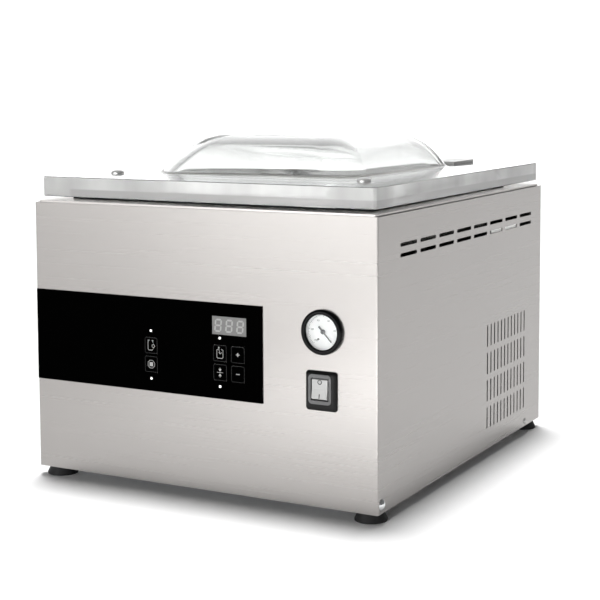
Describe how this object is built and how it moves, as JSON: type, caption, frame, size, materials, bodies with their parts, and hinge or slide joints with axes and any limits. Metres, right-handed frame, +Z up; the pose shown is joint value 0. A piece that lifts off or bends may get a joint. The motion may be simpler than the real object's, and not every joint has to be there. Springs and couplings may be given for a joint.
{
  "type": "vacuum chamber sealer",
  "caption": "Table-top vacuum chamber sealer: folded steel housing, clear domed lid on sprung rear hinges, lifting seal bar, vane pump, vacuum gauge, rocker switch and membrane keys.",
  "frame": {"origin": "centre of the bounding box's base, on the surface that the feet stand on, with the lid closed", "axes": "+X to the machine's right as its user sees it, -Y to its front, +Z up"},
  "size_m": [0.3896, 0.4632, 0.35],
  "materials": {
    "stainless": "brushed",
    "zinc_steel": "zinc plated",
    "polished_steel": "polished",
    "aluminium": "satin",
    "pump_grey": "satin paint",
    "motor_grey": "satin paint",
    "core_black": "varnished windings",
    "hinge_grey": "satin coating",
    "black_rubber": "matt",
    "black_gloss": "glossy",
    "black_matte": "fine texture",
    "dark_grey_plastic": "fine texture",
    "grey_plastic": "satin",
    "white_plastic": "satin",
    "lamp_white": "translucent",
    "clear_acrylic": "polished",
    "clear_glass": "polished",
    "display_grey": "glossy",
    "board_green": "solder mask",
    "resistance_band": "rolled",
    "release_cloth": "woven, coated",
    "red_silicone": "matt"
  },
  "bodies": {
    "machine": {"casing": "stainless", "base_tray": "zinc_steel", "rear_panel": "stainless", "top_deck": "stainless", "chamber_tub": "stainless", "chamber_gasket": "black_rubber", "support_brackets": "zinc_steel", "rubber_feet": "black_rubber", "foot_screws": "zinc_steel", "casing_screws": "zinc_steel", "rear_screws": "zinc_steel", "control_overlay": "black_gloss", "display_module": "grey_plastic", "display_window": "display_grey", "indicator_lamps": "lamp_white", "control_board": "board_green", "gauge_case": "black_matte", "gauge_bezel": "black_gloss", "gauge_dial": "white_plastic", "gauge_glass": "clear_glass", "switch_bezel": "black_gloss", "switch_frame": "dark_grey_plastic", "power_inlet": "black_matte", "pump_body": "pump_grey", "pump_motor": "motor_grey", "motor_cowl": "black_matte", "pump_dampers": "black_rubber", "exhaust_filter": "white_plastic", "valve_block": "aluminium", "solenoid_coils": "core_black", "vacuum_hoses": "black_rubber", "seal_transformer": "core_black", "suction_strainer": "stainless", "lift_cylinders": "aluminium", "hinge_brackets": "zinc_steel", "hinge_pins": "polished_steel", "lid_springs": "zinc_steel"},
    "lid": {"lid_panel": "clear_acrylic", "counter_bar": "aluminium", "silicone_strip": "red_silicone", "lid_caps": "polished_steel", "hinge_plates": "hinge_grey", "hinge_leaves": "hinge_grey", "hinge_bolts": "zinc_steel"},
    "seal_bar": {"seal_bar": "aluminium", "heating_band": "resistance_band", "release_tape": "release_cloth", "bar_end_caps": "black_matte", "lift_rods": "polished_steel"},
    "rocker": {"switch_rocker": "grey_plastic"},
    "needle": {"gauge_needle": "dark_grey_plastic"},
    "start_key": {"key_start": "black_gloss"},
    "stop_key": {"key_stop": "black_gloss"},
    "vacuum_key": {"key_vacuum": "black_gloss"},
    "seal_key": {"key_seal": "black_gloss"},
    "plus_key": {"key_plus": "black_gloss"},
    "minus_key": {"key_minus": "black_gloss"},
    "pump_rotor": {"pump_shaft": "polished_steel", "motor_fan": "grey_plastic"},
    "filler_plates": {"filler_plates": "white_plastic"}
  },
  "joints": [
    {"name": "lid_hinge", "type": "hinge", "parent": "machine", "child": "lid", "pos_m": [0, 0.2247, 0.284], "axis": [-1, 0, 0], "range_deg": [0, 55], "stiffness_Nm_per_rad": 2.6, "springref_deg": 171.89},
    {"name": "seal_bar_lift", "type": "slide", "parent": "machine", "child": "seal_bar", "axis": [0, 0, 1], "range_m": [0, 0.009]},
    {"name": "rocker_tip", "type": "hinge", "parent": "machine", "child": "rocker", "pos_m": [0.1353, -0.2263, 0.1213], "axis": [1, 0, 0], "range_deg": [0, 10]},
    {"name": "gauge_needle_turn", "type": "hinge", "parent": "machine", "child": "needle", "pos_m": [0.1363, -0.2253, 0.1739], "axis": [0, -1, 0], "range_deg": [0, 270], "stiffness_Nm_per_rad": 0.0001},
    {"name": "start_key_press", "type": "slide", "parent": "machine", "child": "start_key", "axis": [0, 1, 0], "range_m": [0, 0.0004], "stiffness_N_per_m": 500},
    {"name": "stop_key_press", "type": "slide", "parent": "machine", "child": "stop_key", "axis": [0, 1, 0], "range_m": [0, 0.0004], "stiffness_N_per_m": 500},
    {"name": "vacuum_key_press", "type": "slide", "parent": "machine", "child": "vacuum_key", "axis": [0, 1, 0], "range_m": [0, 0.0004], "stiffness_N_per_m": 500},
    {"name": "seal_key_press", "type": "slide", "parent": "machine", "child": "seal_key", "axis": [0, 1, 0], "range_m": [0, 0.0004], "stiffness_N_per_m": 500},
    {"name": "plus_key_press", "type": "slide", "parent": "machine", "child": "plus_key", "axis": [0, 1, 0], "range_m": [0, 0.0004], "stiffness_N_per_m": 500},
    {"name": "minus_key_press", "type": "slide", "parent": "machine", "child": "minus_key", "axis": [0, 1, 0], "range_m": [0, 0.0004], "stiffness_N_per_m": 500},
    {"name": "pump_spin", "type": "hinge", "parent": "machine", "child": "pump_rotor", "pos_m": [0.085, 0, 0.088], "axis": [0, 1, 0], "continuous": true},
    {"name": "filler_plates_lift", "type": "slide", "parent": "machine", "child": "filler_plates", "axis": [0, 0, 1], "range_m": [0, 0.05]}
  ]
}
